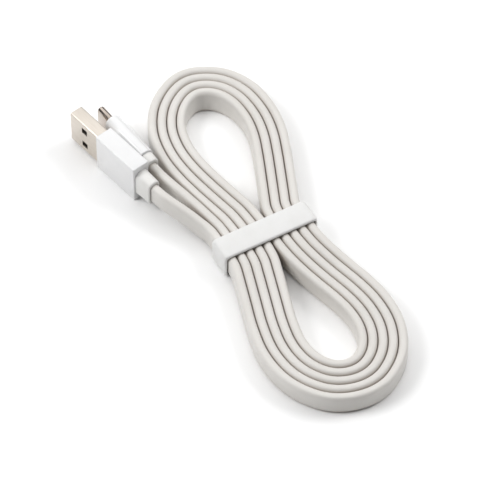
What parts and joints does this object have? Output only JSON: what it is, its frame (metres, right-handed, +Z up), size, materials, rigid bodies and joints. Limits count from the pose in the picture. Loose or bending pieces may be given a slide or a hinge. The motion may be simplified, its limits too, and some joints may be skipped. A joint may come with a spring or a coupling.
{
  "type": "charging cable",
  "caption": "Flat white charging cable from a USB-A plug to a USB-C plug, wound into a flat hank with a loop each way and held in the middle by a wide band.",
  "frame": {"origin": "middle of the whole object's footprint, on the surface that it lies on", "axes": "+Y along the hank, towards the end that the plugs point to; +X across the hank; +Z up, with the flat ribbon standing on its narrow edge"},
  "size_m": [0.0598, 0.1379, 0.014],
  "materials": {
    "cable_jacket": "warm off-white, satin, smooth elastomer",
    "band_plastic": "matte white moulding",
    "casing_plastic": "bright white, glossy",
    "boot_elastomer": "white, matte",
    "usb_a_shell_plating": "warm nickel plating, satin",
    "usb_c_shell_plating": "nickel plating, bright",
    "contact_plating": "gold flash over copper alloy",
    "tongue_plastic": "black moulding",
    "insulator_plastic": "black moulding",
    "spring_steel": "stamped stainless steel",
    "inner_mold_plastic": "translucent white polyethylene",
    "board_laminate": "green solder mask on glass laminate",
    "resistor_body": "black ceramic chip",
    "solder": "bright tin solder",
    "red_insulation": "red wire insulation",
    "white_insulation": "white wire insulation",
    "green_insulation": "green wire insulation",
    "black_insulation": "black wire insulation"
  },
  "bodies": {
    "cable": {"cable_coil": "cable_jacket", "usb_a_lead": "cable_jacket", "usb_c_lead": "cable_jacket", "usb_a_shell": "usb_a_shell_plating", "usb_a_power_contact": "contact_plating", "usb_a_data_minus_contact": "contact_plating", "usb_a_data_plus_contact": "contact_plating", "usb_a_ground_contact": "contact_plating", "usb_a_tongue": "tongue_plastic", "usb_a_solder_joints": "solder", "usb_a_cable_end": "cable_jacket", "usb_a_red_wire": "red_insulation", "usb_a_white_wire": "white_insulation", "usb_a_green_wire": "green_insulation", "usb_a_black_wire": "black_insulation", "usb_a_inner_mold": "inner_mold_plastic", "usb_a_casing": "casing_plastic", "usb_a_boot": "boot_elastomer", "usb_c_shell": "usb_c_shell_plating", "usb_c_upper_contacts": "contact_plating", "usb_c_lower_contacts": "contact_plating", "usb_c_latch_plate": "spring_steel", "usb_c_ground_springs": "spring_steel", "usb_c_insulator": "insulator_plastic", "usb_c_circuit_board": "board_laminate", "usb_c_resistor": "resistor_body", "usb_c_rear_shield": "spring_steel", "usb_c_solder_joints": "solder", "usb_c_cable_end": "cable_jacket", "usb_c_red_wire": "red_insulation", "usb_c_white_wire": "white_insulation", "usb_c_green_wire": "green_insulation", "usb_c_black_wire": "black_insulation", "usb_c_inner_mold": "inner_mold_plastic", "usb_c_casing": "casing_plastic", "usb_c_boot": "boot_elastomer"},
    "band": {"coil_band": "band_plastic"}
  },
  "joints": [
    {"name": "band_slide", "type": "slide", "parent": "cable", "child": "band", "axis": [0, 1, 0], "range_m": [-0.001, 0.001]}
  ]
}
